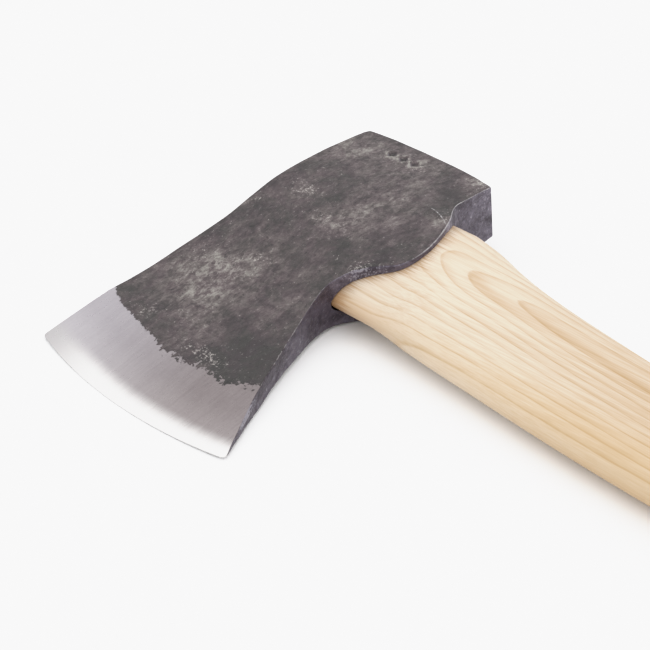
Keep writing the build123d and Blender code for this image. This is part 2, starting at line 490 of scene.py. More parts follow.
top_line = rounded_end(smooth_line(TOP_LINE), TOE_ROUND)
top_line[:, 0] += POLL_CORNER * np.exp(top_line[:, 1] / POLL_CORNER + 1)
under_parts = [smooth_line(part, 200) for part in (POLL_UNDER, LUG_UNDER, NECK_UNDER)]
under_line = rounded_end(np.vstack(under_parts), HEEL_ROUND)
crease_line = smooth_line(CREASE_LINE, 24)
cheek_half = curve_value(CHEEK)
cheek_taper = curve_value(CHEEK_TAPER)
ground_edge = curve_value(GROUND_EDGE)
honed_width = curve_value(HONED)


def top_x(y):
    """The x of the head's top outline at y."""
    return np.interp(-y, -top_line[:, 1], top_line[:, 0])


def under_x(y):
    """The x of the head's lower outline at y."""
    return np.interp(-y, -under_line[:, 1], under_line[:, 0])


def row_y(x, depth):
    """The y at x of the row of vertices that starts depth millimetres in from the poll. The rows are
    crowned like the poll's face at one end, and curved like the cutting edge at the other."""
    above = np.maximum(CROWN_FROM[0] - x, 0) / CROWN_FROM[0]
    below = np.maximum(x - CROWN_FROM[1], 0) / (POLL_HEIGHT - CROWN_FROM[1])
    crown = (POLL_CROWN[0] * above**2 + POLL_CROWN[1] * below**2) * (1 - rise(0, 20, depth))
    sweep = (edge_arc_y(x) + HEAD_DEPTH) * rise(55, HEAD_DEPTH, depth)
    return -depth - crown + sweep


def row_ends(depth):
    """The x of the two outlines where the row at that depth meets them."""
    ends = []
    for line, guess in ((top_x, 0.0), (under_x, 60.0)):
        x = np.full_like(depth, guess)
        for _ in range(30):
            x = (x + line(row_y(x, depth))) / 2
        ends.append(x)
    return ends


def half_thickness(x, y):
    """Half the head's thickness: the cheeks' profile, thinned towards the cutting edge."""
    inward = edge_distance(x, y)
    bevel = np.interp(inward, *np.array(TAPER).T)
    taper = np.where(inward < TAPER[-1][0], bevel, cheek_taper(inward))
    taper = np.where(inward > CHEEK_TAPER[-1][0], NO_TAPER, taper)
    cheek = cheek_half(y)
    part = np.clip(0.5 + (cheek - taper) / (2 * CHEEK_BLEND), 0, 1)
    softened = cheek * (1 - part) + taper * part - CHEEK_BLEND * part * (1 - part)
    return np.where(inward < TAPER[-1][0], np.minimum(cheek, taper), softened)


def head_depths():
    """The rows' depths: close together round the poll's edge and at the cutting edge."""
    round_poll = POLL_EDGE * (1 - np.cos(np.linspace(0, math.pi / 2, 7)))[:-1]
    cheeks = np.linspace(POLL_EDGE, HEAD_DEPTH - 6, 252)
    blade = np.linspace(HEAD_DEPTH - 6, HEAD_DEPTH - 0.02, 20)[1:]
    return np.concatenate([round_poll, cheeks, blade])


def arris_radius(x, y, lower_side):
    """How worn the arris is at that place: softest where the lugs run into the neck."""
    radius = 0.3 + 0.2 * lower_side + 0.15 * cloud(np.stack([x, y, np.full_like(x, 7.0)], 1), 9.0, 11)
    lug_front = np.exp(-(((y + 58) / 6) ** 2)) * lower_side
    return radius + 0.6 * lug_front


def round_arris(x, inwards, radius, z, depth):
    """Points from the cheek, at z, round the arris to the wall, at x. inwards, 1 or -1, points along x."""
    turn = np.linspace(0, math.pi / 2, HEAD_ARRIS + 1)[1:]
    at = x + inwards * radius * (1 - np.sin(turn))
    return np.stack([at, row_y(at, depth), z - radius * (1 - np.cos(turn))], 1)


def head_rings():
    """Every ring of head vertices: upper cheek, underside, lower cheek and top, as rows by columns."""
    depth = head_depths()
    start_x, end_x = row_ends(depth)
    # The poll's rounded edge draws the first rings in
    inset = POLL_EDGE - np.sqrt(POLL_EDGE**2 - np.maximum(POLL_EDGE - depth, 0) ** 2)
    start_x = start_x + inset
    end_x = end_x - inset
    span = np.linspace(0, 1, HEAD_COLUMNS + 1)
    share = (np.arange(1, HEAD_WALL + 1) / (HEAD_WALL + 1))[:, None]
    rings = []
    for here, x0, x1, shrink in zip(depth, start_x, end_x, inset):
        ends = np.array([x0, x1])
        thin = half_thickness(ends, row_y(ends, here)) - shrink
        soft = arris_radius(ends, row_y(ends, here), np.array([0.0, 1.0]))
        soft = np.clip(np.minimum(soft - shrink * 0.6, thin * 0.8), 0.02, None)
        x = x0 + soft[0] + (x1 - soft[1] - x0 - soft[0]) * span
        y = row_y(x, here)
        cheek = np.stack([x, y, half_thickness(x, y) - shrink], 1)
        start = round_arris(x0, 1, soft[0], cheek[0, 2], here)[::-1]
        end = round_arris(x1, -1, soft[1], cheek[-1, 2], here)
        side = np.vstack([start, cheek, end])
        mirrored = side * (1, 1, -1)
        under = side[-1] * (1 - share) + mirrored[-1] * share
        top = mirrored[0] * (1 - share) + side[0] * share
        rings.append(np.vstack([side, under, mirrored[::-1], top]))
    return np.array(rings)


def notch_crease(points):
    """The raised crease at the notch, less the hollows behind it."""
    ridge = 0.3 * np.exp(-((line_distance(points, crease_line) / 0.6) ** 2))
    return ridge - patches(points, CREASE_HOLLOWS)


def punch_marks(points):
    """The punch marks' raised rims, and their hollows, 0 to 1."""
    rim = np.zeros(len(points))
    hollow = np.zeros(len(points))
    for x in PUNCH_X:
        size = np.abs(points[:, 0] - x) + np.abs(points[:, 1] - PUNCH_Y)
        rim += np.exp(-(((size - PUNCH_RIM) / 0.6) ** 2))
        hollow += rise(-PUNCH_TOP, -PUNCH_FLOOR, -size)
    return rim, hollow


def ground_inside(points):
    """How far a point lies inside the ground bevel, whose border is torn where the grinding ran out."""
    x, y = points[:, 0], points[:, 1]
    torn = 0.55 * cloud(points * (1, 1, 0.05), 3.2, 21, 2) + 0.3 * cloud(points, 1.1, 31)
    ragged = rise(44, 62, x)
    return ground_edge(x) - edge_distance(x, y) + torn * (0.75 + 0.8 * ragged)


def head_relief(points, normals):
    """The forging's unevenness: broad waves and dents, fine pits, and the bevel's ground step. Each cloud()
    has its own size in millimetres and its own seed."""
    x, y = points[:, 0], points[:, 1]
    cheek = rise(0.6, 0.9, np.abs(normals[:, 2]))
    upper = cheek * (normals[:, 2] > 0)
    inward = edge_distance(x, y)
    forged = rise(-0.3, 0.5, -ground_inside(points))
    waves = 0.16 * cloud(points, 17.0, 41) + 0.07 * cloud(points, 6.0, 51)
    pits = -0.16 * rise(0.32, 0.95, cloud(points, 1.7, 61, 2))
    pits -= 0.05 * rise(0.1, 0.8, cloud(points, 0.9, 71))
    rough = 0.35 + 0.65 * rise(-0.1, 0.5, cloud(points, 22.0, 81))
    walls = 0.10 * cloud(points, 7.0, 91) - 0.14 * rise(0.3, 0.9, cloud(points, 1.5, 95, 2))
    step = -BEVEL_STEP * (1 - forged) * cheek
    thin = rise(1.0, 9.0, inward)
    face = cheek * (forged * (waves + pits * rough) + step + (1 - forged) * 0.02 * cloud(points, 9.0, 99))
    rim, hollow = punch_marks(points)
    marks = upper * (0.15 * rim - 0.55 * hollow + notch_crease(points))
    poll = rise(0.5, 0.9, normals[:, 1])
    return (face + (1 - cheek) * walls * (1 - 0.5 * poll)) * thin + marks - SKIN * thin - SKIN * poll


def oval(front, back, half, egg, fullness, count):
    """Points round an egg-shaped oval, whose front end is the narrower one, as (y, z) rows."""
    turn = np.linspace(0, math.tau, count, endpoint=False)
    along = np.sign(np.cos(turn)) * np.abs(np.cos(turn)) ** (2 / fullness)
    height = np.sign(np.sin(turn)) * np.abs(np.sin(turn)) ** (2 / fullness) * (1 + egg * along)
    return np.stack([(front + back) / 2 + (back - front) / 2 * along, height * half / height.max()], 1)


def eye_section(x, count, clearance=0.0, front_gap=0.0):
    """The eye's section at x. The clearance makes it larger all round, and the gap only at its front."""
    place, insets, halves = np.array(sorted(EYE_RINGS)).T
    inset = np.interp(x, place, insets)
    half = np.interp(x, place, halves) + clearance
    front = EYE_FRONT + inset - clearance - front_gap
    return oval(front, EYE_BACK - inset + clearance, half, EYE_EGG, EYE_FULLNESS, count)


def eye_cutter():
    """The space inside the eye, a little larger than the tongue, with a gap past its front end."""

    def section(x):
        return eye_section(x, 128, EYE_CLEARANCE, EYE_FRONT_GAP * rise(20, 60, x))

    return tube("eye_cutter", np.r_[-6.0, np.linspace(-3, 60, 22), 72.0], section)


def wear_amount(points):
    """How brightly the arrises are worn there: most on the lugs and poll, least along the head's top."""
    x, y = points[:, 0], points[:, 1]
    below = rise(25, 35, x)
    lug = rise(-72, -66, y)
    softened = np.exp(-(((y + 58) / 5) ** 2))
    return 0.3 + below * (0.3 + 0.5 * lug - 0.45 * softened) + 0.3 * (1 - below) * rise(-6, -1, y)


def arris_distance(points):
    """How far each point lies from the nearest arris or the crease, up to 20 mm."""
    x, y, z = points.T
    outline = np.minimum(line_distance(points, top_line[::4]), line_distance(points, under_line[::4]))
    cheek = np.maximum(half_thickness(x, y) - np.abs(z), 0)
    poll = np.maximum(row_y(x, np.zeros(len(points))) - y, 0)
    crease = line_distance(points, crease_line) + np.where(z > 0, 0.2, 20)
    arrises = [np.hypot(outline, cheek), np.hypot(cheek, poll), np.hypot(outline, poll)]
    return np.minimum(np.minimum.reduce([*arrises, crease]), 20)


def head_solid():
    """The head's smooth closed solid, before its relief and its eye."""
    rings = head_rings()
    rows, columns, _ = rings.shape
    side = HEAD_COLUMNS + 1 + 2 * HEAD_ARRIS
    points = rings.reshape(-1, 3)
    faces = ring_faces(rows, columns)
    for row, flip in ((0, False), (rows - 1, True)):
        made, quads = cap_grid(rings[row], row * columns, side, HEAD_WALL, len(points), flip)
        points = np.vstack([points, made])
        faces += quads
    return make_solid("hatchet_head", points, faces)


def make_head():
    """The head, with what its material needs to know at each vertex."""
    head = head_solid()
    displace(head, head_relief)
    cut(head, eye_cutter())
    points = to_own(read_points(head.data))
    x, y, z = points.T
    store(head, "own", points)
    store(head, "ground", ground_inside(points))
    # The honed strip also places the bevel's painted highlight
    store(head, "honed_and_highlight", honed_width(x) - edge_distance(x, y))
    store(head, "arris", arris_distance(points))
    store(head, "wear", wear_amount(points))
    upper = z > 0
    cloudy = 0.5 * cloud(points, 13.0, 201, 2)
    rim, hollow = punch_marks(points)
    # The patches mix rubbed and dark scale with painted light near the poll and painted shade near the
    # bevel
    marked = patches(points, RUBBED_AND_PAINTED_LIGHT) + 0.3 * cloudy + 0.9 * rim - 1.2 * hollow
    store(head, "rubbed_and_painted_light", np.where(upper, marked, cloudy))
    store(head, "speckled", np.where(upper, patches(points, SPECKLED), np.maximum(cloudy, 0)))
    shade(head, 38)
    return head


# ---- handle ----

grip_line = smooth_line(GRIP, 1600)


def handle_section(x, count):
    """The handle's section at x: the eye's shape in the head, then the grip's ovals."""
    if x <= GRIP[0][0]:
        return eye_section(x, count)
    front, back, half = (np.interp(x, grip_line[:, 0], grip_line[:, i]) for i in (1, 2, 3))
    grip = rise(GRIP[0][0], GRIP[1][0] + 6, x)
    egg = EYE_EGG + (GRIP_EGG - EYE_EGG) * grip
    fullness = EYE_FULLNESS + (GRIP_FULLNESS - EYE_FULLNESS) * grip
    return oval(front, back, half, egg, fullness, count)


def growth_rings(points):
    """How many growth rings lie between the pith and each point."""
    x, y, z = points.T
    depth = PITH_DEPTH + PITH_DIP * np.exp((PITH_DIP_X - np.maximum(x, PITH_LEVEL_X)) / PITH_DIP_REACH)
    middle = curve_value(PITH_Y)(x)
    tip_reach = np.sqrt(np.maximum(TIP_RING**2 - depth**2, 1))
    front_reach = np.sqrt(FRONT_RING**2 - depth**2)
    leg = middle - tip_reach
    beyond = (leg - y) / (leg - np.interp(x, grip_line[:, 0], grip_line[:, 1]))
    across = np.where(y < leg, tip_reach + beyond * (front_reach - tip_reach), y - middle)
    radius = np.hypot(across, z - UPPER_FACE + depth)
    wander = 0.10 * cloud(points * (0.10, 1, 1), 7.0, 301) + 0.04 * cloud(points * (0.25, 1, 1), 2.5, 305)
    return radius / RING_WIDTH + wander


def kerf_half(x):
    """Half the height of the saw kerf at x, as the wooden wedge has opened it."""
    return np.interp(x, [-TONGUE_PROUD, WEDGE_DEPTH], [WEDGE_TOP_HALF, KERF_HALF])


def kerf_cutter():
    """The kerf's space, which runs through the tongue from front to back."""

    def section(x):
        half = kerf_half(x) + FIT_GAP
        return np.array([(KERF_FRONT, -half), (KERF_BACK, -half), (KERF_BACK, half), (KERF_FRONT, half)])

    return tube("kerf_cutter", (CUT_FROM, -TONGUE_PROUD, WEDGE_DEPTH, KERF_DEPTH), section)


def lathe(name, profile):
    """A ring about the middle of the tongue, from the closed outline profile of (x, radius) points."""
    turn = np.linspace(0, math.tau, 96, endpoint=False)
    points = []
    for x, radius in profile:
        ring = [np.full(len(turn), x), RING_MIDDLE_Y + radius * np.cos(turn), radius * np.sin(turn)]
        points.append(np.column_stack(ring))
    faces = []
    for row in range(len(profile)):
        following = (row + 1) % len(profile)
        for column in range(len(turn)):
            after = (column + 1) % len(turn)
            quad = ((row, column), (following, column), (following, after), (row, after))
            faces.append(tuple(r * len(turn) + c for r, c in quad))
    return make_solid(name, np.vstack(points), faces)


def ring_groove():
    """The space that the ring wedge takes up."""
    tip = RING_LENGTH - TONGUE_PROUD
    return lathe("ring_groove", [
        (CUT_FROM, RING_RADIUS - RING_WALL - FIT_GAP),
        (CUT_FROM, RING_RADIUS + FIT_GAP),
        (tip + FIT_GAP, RING_TIP_RADIUS + FIT_GAP),
        (tip + FIT_GAP, RING_TIP_RADIUS - RING_TIP_WALL - FIT_GAP),
    ])


def hang_hole_cutter():
    """The lanyard hole through the knob, with its edges eased."""
    turn = np.linspace(0, math.tau, 64, endpoint=False)

    def section(z):
        radius = HANG_HOLE_RADIUS + max(abs(z) - HANG_HOLE_EASED, 0)
        return np.column_stack([HANG_HOLE[0] + radius * np.cos(turn), HANG_HOLE[1] + radius * np.sin(turn)])

    return tube("hang_hole_cutter", (-14, -HANG_HOLE_EASED, HANG_HOLE_EASED, 14), section, (1, 2, 0))


def make_wood_wedge():
    """The wooden wedge, which spans the eye from front to back, flush with the tongue's end."""

    def section(x):
        ring = eye_section(x, 96)
        limit = kerf_half(x)
        return np.column_stack([ring[:, 0], np.clip(ring[:, 1], -limit, limit)])

    wedge = tube("wooden_wedge", np.linspace(-TONGUE_PROUD, WEDGE_DEPTH, 20), section)
    cut(wedge, ring_groove())
    store(wedge, "own", to_own(read_points(wedge.data)))
    shade(wedge, 30)
    return wedge


def make_ring_wedge():
    """The steel ring wedge, with its rim mushroomed a little by the hammer."""
    top, tip = -TONGUE_PROUD, RING_LENGTH - TONGUE_PROUD
    inside = RING_RADIUS - RING_WALL
    ring = lathe("steel_ring_wedge", [
        (top + 0.25, inside),
        (top, inside + 0.2),
        (top, RING_RADIUS - 0.2),
        (top + 0.25, RING_RADIUS),
        (tip, RING_TIP_RADIUS),
        (tip, RING_TIP_RADIUS - RING_TIP_WALL),
    ])
    store(ring, "own", to_own(read_points(ring.data)))
    shade(ring, 30)
    return ring


def handle_rows():
    """The handle's rings of vertices, from the middle of the tongue's end to the middle of the knob's."""
    knob_x, knob_y = KNOB_CUT
    rows = []

    def add(x, ring, slant):
        rows.append(np.column_stack([x - slant * (ring[:, 0] - knob_y), ring]))

    first = handle_section(-TONGUE_PROUD, HANDLE_COUNT)
    middle = np.array([[RING_MIDDLE_Y, 0.0]])
    for share in (0.02, 0.25, 0.45, 0.62, 0.76, 0.87, 0.95, 0.985):
        add(-TONGUE_PROUD, middle + (first - middle) * share, 0)

    in_eye = np.linspace(-TONGUE_PROUD + 0.3, 44, 34)
    near_head = np.linspace(44.5, 84, 80)
    grip = np.linspace(85, knob_x - KNOB_ROUND, 240)
    for x in (*in_eye, *near_head, *grip):
        add(x, handle_section(x, HANDLE_COUNT), KNOB_SLANT * rise(KNOB_SLANT_FROM, grip[-1], x))

    last = handle_section(knob_x, HANDLE_COUNT)
    middle = last.mean(axis=0)
    outwards = (last - middle) / np.linalg.norm(last - middle, axis=1)[:, None]
    for turn in np.linspace(0, math.pi / 2, 9)[1:]:
        rim = last - outwards * KNOB_ROUND * (1 - math.cos(turn))
        add(knob_x - KNOB_ROUND * (1 - math.sin(turn)), rim, KNOB_SLANT)
    for share in (0.9, 0.75, 0.58, 0.4, 0.22, 0.05, 0.005):
        add(knob_x, middle + (rim - middle) * share, KNOB_SLANT)
    return rows


def make_handle():
    """The handle, with what its material needs to know at each vertex."""
    handle = closed_tube("ash_handle", handle_rows())
    cut(handle, kerf_cutter())
    cut(handle, ring_groove())
    cut(handle, hang_hole_cutter())
    points = to_own(read_points(handle.data))
    x, y, z = points.T
    front = rise(62, 73, -y)
    streak = np.exp(-((line_distance(points, smooth_line(DARK_STREAK, 120)) / 1.9) ** 2))
    store(handle, "own", points)
    store(handle, "ring", growth_rings(points))
    store(handle, "streak", streak * rise(0, 4, z))
    store(handle, "from_head", x - under_x(y))
    # Painted shade along the front strip, plus the wood darker from x 90 to 170 towards the knob
    store(handle, "front_shade_and_far_darkening", 0.5 * front + 2.0 * rise(90, 170, x))
    store(handle, "front", front)
    shade(handle, 38)
    return handle


# ---- materials ----


class Finish:
    """A material while its nodes are being laid out. Most methods add a node and return its output."""

    def __init__(self, name):
        self.material = bpy.data.materials.new(name)
        self.material.use_nodes = True
        self.tree = self.material.node_tree
        self.tree.nodes.clear()
        self.shader = self.add("BsdfPrincipled")
        output = self.add("OutputMaterial")
        self.tree.links.new(self.shader.outputs[0], output.inputs[0])

    def add(self, kind):
        """A new node, of Blender's kind without its ShaderNode."""
        return self.tree.nodes.new("ShaderNode" + kind)

    def put(self, socket, value):
        """Sets a socket to a number or colour, or links it to another node's output."""
        if isinstance(value, bpy.types.NodeSocket):
            self.tree.links.new(value, socket)
        else:
            socket.default_value = value

    def attribute(self, name, output="Fac"):
        """What store() kept at each vertex."""
        node = self.add("Attribute")
        node.attribute_name = name
        return node.outputs[output]

    def math(self, operation, *values):
        """One of Blender's math operations on numbers or other nodes' outputs."""
        node = self.add("Math")
        node.operation = operation
        for socket, value in zip(node.inputs, values):
            self.put(socket, value)
        return node.outputs[0]

    def times(self, first, second):
        """The product of two."""
        return self.math("MULTIPLY", first, second)

    def first_of(self, place):
        """The first of a place's three numbers."""
        node = self.add("SeparateXYZ")
        self.put(node.inputs[0], place)
        return node.outputs[0]

    def stretch(self, place, scale, move=(0, 0, 0)):
        """place times scale, plus move."""
        node = self.add("VectorMath")
        node.operation = "MULTIPLY_ADD"
        for socket, value in zip(node.inputs, (place, scale, move)):
            self.put(socket, value)
        return node.outputs[0]

    def noise(self, place, size, detail, rough, bend=0.0, move=0.0):
        """Random values, from 0 to 1, that change over size millimetres. place may be stretched first."""
        node = self.add("TexNoise")
        self.put(node.inputs["Vector"], self.stretch(place, (1, 1, 1), (move, move, move)))
        node.inputs["Scale"].default_value = 1 / size
        node.inputs["Detail"].default_value = detail
        node.inputs["Roughness"].default_value = rough
        node.inputs["Distortion"].default_value = bend
        return node.outputs["Fac"]

    def ramp(self, value, low, high, start=0.0, end=1.0):
        """value mapped smoothly from low..high to start..end."""
        node = self.add("MapRange")
        node.interpolation_type = "SMOOTHSTEP"
        for socket, setting in zip(node.inputs, (value, low, high, start, end)):
            self.put(socket, setting)
        return node.outputs[0]

    def colours(self, value, stops):
        """The colour at value along (place, colour) stops."""
        node = self.add("ValToRGB")
        for place, _ in stops[1:-1]:
            node.color_ramp.elements.new(place)
        for element, (place, tint) in zip(node.color_ramp.elements, stops):
            element.position = place
            element.color = tint
        self.put(node.inputs[0], value)
        return node.outputs[0]

    def sum(self, start, *terms):
        """start plus amount times (value - middle) for each (value, middle, amount)."""
        for value, middle, amount in terms:
            start = self.math("MULTIPLY_ADD", self.math("SUBTRACT", value, middle), amount, start)
        return start

    def facing(self, direction):
        """How nearly the surface faces along one of the hatchet's own directions, either way: 0 to 1."""
        geometry = self.add("NewGeometry")
        node = self.add("VectorMath")
        node.operation = "DOT_PRODUCT"
        self.put(node.inputs[0], geometry.outputs["True Normal"])
        node.inputs[1].default_value = tuple(DIRECTIONS[direction])
        return self.math("ABSOLUTE", node.outputs["Value"])

    def mix(self, share, first, second):
        """A colour between two."""
        node = self.add("Mix")
        node.data_type = "RGBA"
        self.put(node.inputs[0], share)
        self.put(node.inputs[6], first)
        self.put(node.inputs[7], second)
        return node.outputs[2]

    def bump(self, height, distance, strength):
        """Relief too fine for the mesh, where height 1 stands distance millimetres proud."""
        node = self.add("Bump")
        node.inputs["Strength"].default_value = strength
        node.inputs["Distance"].default_value = distance / 1000
        self.put(node.inputs["Height"], height)
        return node.outputs[0]

    def set(self, **sockets):
        """Sets the shader's own sockets, named with underscores for spaces."""
        for name, value in sockets.items():
            self.put(self.shader.inputs[name.replace("_", " ")], value)


def colour(red, green, blue):
    """A screen colour, 0 to 255, as the linear one that a shader takes."""
    linear = []
    for value in (red, green, blue):
        share = value / 255
        linear.append(share / 12.92 if share <= 0.04045 else ((share + 0.055) / 1.055) ** 2.4)
    return (*linear, 1.0)


# Colours as a screen shows them. A pair holds the two ends that a finish mixes
FORGE_SCALE = [
    (0.0, colour(30, 25, 26)),
    (0.3, colour(58, 48, 50)),
    (0.6, colour(87, 77, 77)),
    (1.0, colour(140, 136, 130)),
]
SCALE_TINTS = colour(66, 52, 58), colour(57, 58, 52)
SCALE_BARE = colour(154, 148, 144)
SCALE_PIT = colour(28, 26, 27)
WALL_SCALE = colour(48, 39, 49), colour(118, 111, 125)
WALL_BARE = colour(154, 150, 160)
BEVEL_TOE = colour(148, 143, 149), colour(176, 172, 176)
BEVEL_HEEL = colour(105, 97, 98), colour(141, 134, 134)
# The honed strip's pair: honed steel with a painted highlight, dimmer at the toe
HONED_STEEL_AND_HIGHLIGHT = colour(172, 169, 170), colour(218, 216, 215)
WORN_ARRIS = colour(166, 163, 164)
ASH = [
    (0.0, colour(207, 192, 173)),
    (0.5, colour(189, 165, 137)),
    (1.0, colour(170, 137, 97)),
]
# Painted shade for the handle's front strip
ASH_FRONT_SHADE = colour(204, 176, 134)
ASH_OILED = colour(150, 108, 66)
ASH_AMBER = colour(178, 128, 76)
END_GRAIN = colour(186, 158, 122), colour(148, 116, 80)
BEECH = colour(150, 108, 72), colour(190, 152, 110)
MILD_STEEL = colour(86, 82, 80), colour(164, 161, 158)
PAPER = colour(247, 247, 248)


def steel_finish():
    """Forge scale over steel, worn through on the arrises and ground away at the bevel, with painted light
    and shade on the upper cheek and a painted highlight on the honed strip.
    """
    f = Finish("forged_and_ground_steel")
    own = f.attribute("own", "Vector")
    x = f.first_of(own)
    wear = f.attribute("wear")
    keen = f.ramp(f.attribute("honed_and_highlight"), 2.0, 3.5)
    cheek = f.math("MAXIMUM", f.ramp(f.facing(2), 0.55, 0.85), keen)

    # Forge scale: charcoal, rubbed lighter in clouds, with painted light near the poll and painted shade
    # near the bevel, scratched along the hatchet and speckled
    rubbed_and_painted_light = f.attribute("rubbed_and_painted_light")
    drawn = f.stretch(own, (1, 0.7, 1))
    broad = f.noise(drawn, 6, 4, 0.6, 0.4)
    middle = f.noise(drawn, 1.7, 4, 0.70, 0.5, move=40)
    grains = f.noise(own, 0.8, 3, 0.7, move=90)
    fine = f.noise(own, 0.4, 2, 0.7, move=140)
    scratches = f.noise(f.stretch(own, (1, 0.12, 1)), 0.6, 3, 0.7, 0.6, move=120)
    mottled = f.times(rubbed_and_painted_light, f.ramp(middle, 0.34, 0.64, 0.6, 1.15))
    level = f.sum(0.26, (mottled, 0.0, 0.42), (broad, 0.5, 1.45), (middle, 0.5, 0.75), (grains, 0.5, 0.5),
                  (scratches, 0.5, 0.4))
    scale = f.colours(level, FORGE_SCALE)
    greener = f.ramp(f.noise(own, 12, 3, 0.6, 1.6, move=200), 0.36, 0.64)
    scale = f.mix(0.22, scale, f.mix(greener, *SCALE_TINTS))
    bare = f.noise(own, 0.7, 3, 0.7, move=170)
    bare = f.sum(bare, (f.attribute("speckled"), 0.0, 0.15), (middle, 0.5, 0.6))
    scale = f.mix(f.ramp(bare, 0.66, 0.82, 0, 0.8), scale, SCALE_BARE)
    pits = f.sum(f.noise(own, 1.1, 2, 0.6, move=230), (middle, 0.5, 0.3))
    scale = f.mix(f.ramp(pits, 0.37, 0.28, 0, 0.65), scale, SCALE_PIT)

    # Side walls: bluer scale with a frosted bloom
    bloom = f.sum(0.04, (f.ramp(broad, 0.38, 0.66), 0.0, 0.4), (f.ramp(middle, 0.42, 0.68), 0.0, 0.2),
                  (f.ramp(grains, 0.50, 0.70), 0.0, 0.3), (rubbed_and_painted_light, 0.0, 0.4))
    bloom = f.times(bloom, f.ramp(wear, 0.5, 0.9, 0.5, 1.0))
    wall = f.mix(bloom, *WALL_SCALE)
    wall = f.mix(f.ramp(bare, 0.62, 0.80, 0, 0.6), wall, WALL_BARE)
    forged = f.mix(cheek, wall, scale)

    # Bevel: fine grinding lines across the edge, with a painted sheen rising towards the honed strip and a
    # painted highlight on it
    lines = f.noise(f.stretch(own, (1, 0.03, 0.2)), 0.4, 3, 0.7, move=310)
    bands = f.noise(f.stretch(own, (1, 0.3, 0.2)), 5.0, 3, 0.6, move=350)
    toe_to_heel = f.ramp(x, -10, 60)
    # Painted sheen: the bevel brightens towards the honed strip
    near_hone_sheen = f.ramp(f.attribute("honed_and_highlight"), -13, -1)
    shine = f.sum(0.28, (near_hone_sheen, 0.0, 0.45), (lines, 0.5, 0.6), (bands, 0.5, 0.4), (grains, 0.5, 0.4))
    ground_grey = f.mix(toe_to_heel, f.mix(shine, *BEVEL_TOE), f.mix(shine, *BEVEL_HEEL))
    # Painted highlight on the honed strip
    honed_highlight_grey = f.mix(f.ramp(x, -5, 24), *HONED_STEEL_AND_HIGHLIGHT)
    honed_and_highlight = f.ramp(f.sum(f.attribute("honed_and_highlight"), (lines, 0.5, 1.0), (bands, 0.5, 0.8)), -3.2, 2.6)
    bright = f.mix(honed_and_highlight, ground_grey, honed_highlight_grey)
    flakes = f.math("SUBTRACT", f.noise(own, 1.5, 3, 0.6, 0.3, move=380), 0.5)
    flakes = f.times(flakes, f.ramp(x, 18, 40, 1.5, 11))
    tear = f.sum(f.attribute("ground"), (flakes, 0.0, 1.0), (grains, 0.5, 1.8), (scratches, 0.5, 1.6))
    ground = f.times(f.ramp(tear, -0.15, 0.15), cheek)

    # Arrises: worn through to bright steel in a thin line
    unground = f.math("SUBTRACT", 1.0, ground)
    edge = f.sum(f.attribute("arris"), (grains, 0.5, 0.3), (middle, 0.5, 0.5), (wear, 0.5, -0.12))
    worn = f.times(f.ramp(edge, 0.33, 0.12), f.math("MINIMUM", wear, 1.0))
    worn = f.times(worn, unground)
    base = f.mix(worn, forged, WORN_ARRIS)
    base = f.mix(ground, base, bright)

    bare_metal = f.math("MAXIMUM", ground, f.times(worn, 0.7))
    roughness = f.sum(f.ramp(middle, 0.3, 0.7, 0.60, 0.46), (ground, 0.0, -0.20))
    grain = f.sum(0.0, (grains, 0.0, 1.0), (fine, 0.0, 0.5), (scratches, 0.0, 0.4),
                  (f.ramp(pits, 0.28, 0.38), 0.0, 0.8))
    height = f.math("MULTIPLY_ADD", grain, unground, f.times(lines, 0.03))
    f.set(Base_Color=base, Metallic=f.sum(0.25, (bare_metal, 0.0, 0.7)), Roughness=roughness,
          Normal=f.bump(height, 0.14, 0.8))
    return f.material


